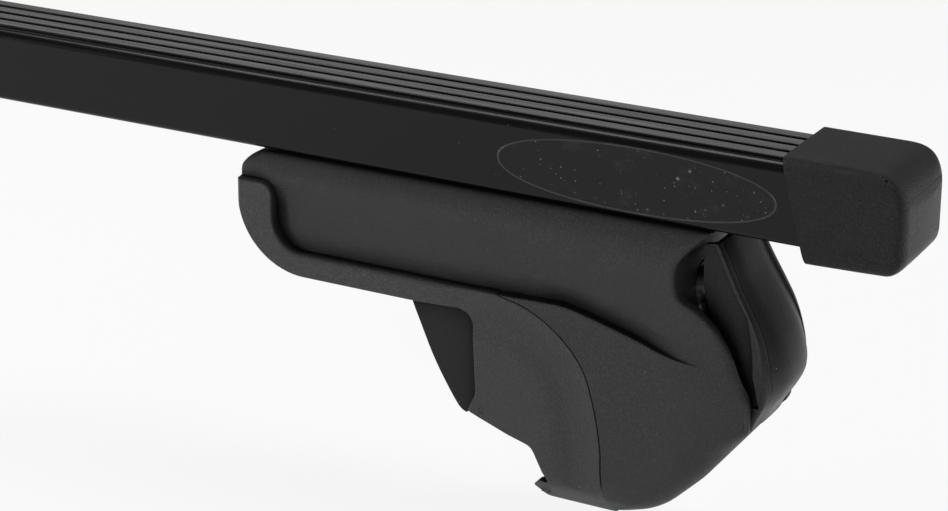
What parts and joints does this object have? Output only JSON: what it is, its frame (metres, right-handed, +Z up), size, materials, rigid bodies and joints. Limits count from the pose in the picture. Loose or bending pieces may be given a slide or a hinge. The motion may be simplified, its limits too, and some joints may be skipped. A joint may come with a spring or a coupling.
{
  "type": "roof bar foot",
  "caption": "Clamp foot for a raised roof rail, holding a black ribbed crossbar with its end cap; the end cover swings down over a tightening bolt that closes a gripping claw.",
  "frame": {"origin": "on the axis of the clamped rail, midway across the foot", "axes": "+X outboard along the crossbar, +Y along the rail, +Z up"},
  "size_m": [0.3316, 0.044, 0.121],
  "materials": {
    "galvanised_steel": "galvanised, with a cut end",
    "sheath_plastic": "glossy black with a faint draw grain",
    "cap_plastic": "fine grained, satin",
    "housing_plastic": "fine grained, matt",
    "shoe_plastic": "fine grained, matt",
    "jaw_plastic": "matt",
    "cover_plastic": "fine grained, satin",
    "rubber": "dull",
    "zinc_steel": "bright zinc plate",
    "spring_steel": "dark oxide",
    "claw_steel": "zinc grey coating"
  },
  "bodies": {
    "foot": {"housing": "housing_plastic", "rail_shoe": "shoe_plastic", "inner_jaw": "jaw_plastic", "saddle_pad": "rubber", "bracket": "zinc_steel", "bar_seat": "rubber", "track_bolts": "zinc_steel", "track_washers": "zinc_steel", "track_nuts": "zinc_steel", "claw_pin": "zinc_steel", "claw_pin_clips": "spring_steel", "thrust_washer": "zinc_steel", "cover_hinge_pin": "zinc_steel", "jaw_pin": "zinc_steel", "shoe_screws": "spring_steel"},
    "crossbar": {"crossbar_core": "galvanised_steel", "crossbar_sheath": "sheath_plastic", "end_cap": "cap_plastic"},
    "claw": {"claw": "claw_steel", "claw_tip_pad": "rubber"},
    "barrel_nut": {"barrel_nut": "zinc_steel"},
    "tightening_bolt": {"tightening_bolt": "zinc_steel"},
    "end_cover": {"end_cover": "cover_plastic"}
  },
  "joints": [
    {"name": "crossbar_slide", "type": "slide", "parent": "foot", "child": "crossbar", "axis": [1, 0, 0], "range_m": [0, 0.06]},
    {"name": "bolt_turn", "type": "hinge", "parent": "foot", "child": "tightening_bolt", "pos_m": [0.06, 0, 0.06564], "axis": [-1, 0, 0], "range_deg": [0, 3700]},
    {"name": "claw_grip", "type": "hinge", "parent": "foot", "child": "claw", "pos_m": [0.014, 0, 0.036], "axis": [0, 1, 0], "range_deg": [-0.2, 25.2]},
    {"name": "barrel_turn", "type": "hinge", "parent": "claw", "child": "barrel_nut", "pos_m": [0.00751, 0, 0.06529], "axis": [0, 1, 0], "range_deg": [-25.4, 0.4]},
    {"name": "cover_hinge", "type": "hinge", "parent": "foot", "child": "end_cover", "pos_m": [0.0798, 0, 0.0332], "axis": [0, 1, 0], "range_deg": [0, 100]}
  ],
  "couplings": [
    {"joint": "claw_grip", "follows": "bolt_turn", "ratio": 0.00664},
    {"joint": "barrel_turn", "follows": "bolt_turn", "ratio": -0.00664}
  ]
}
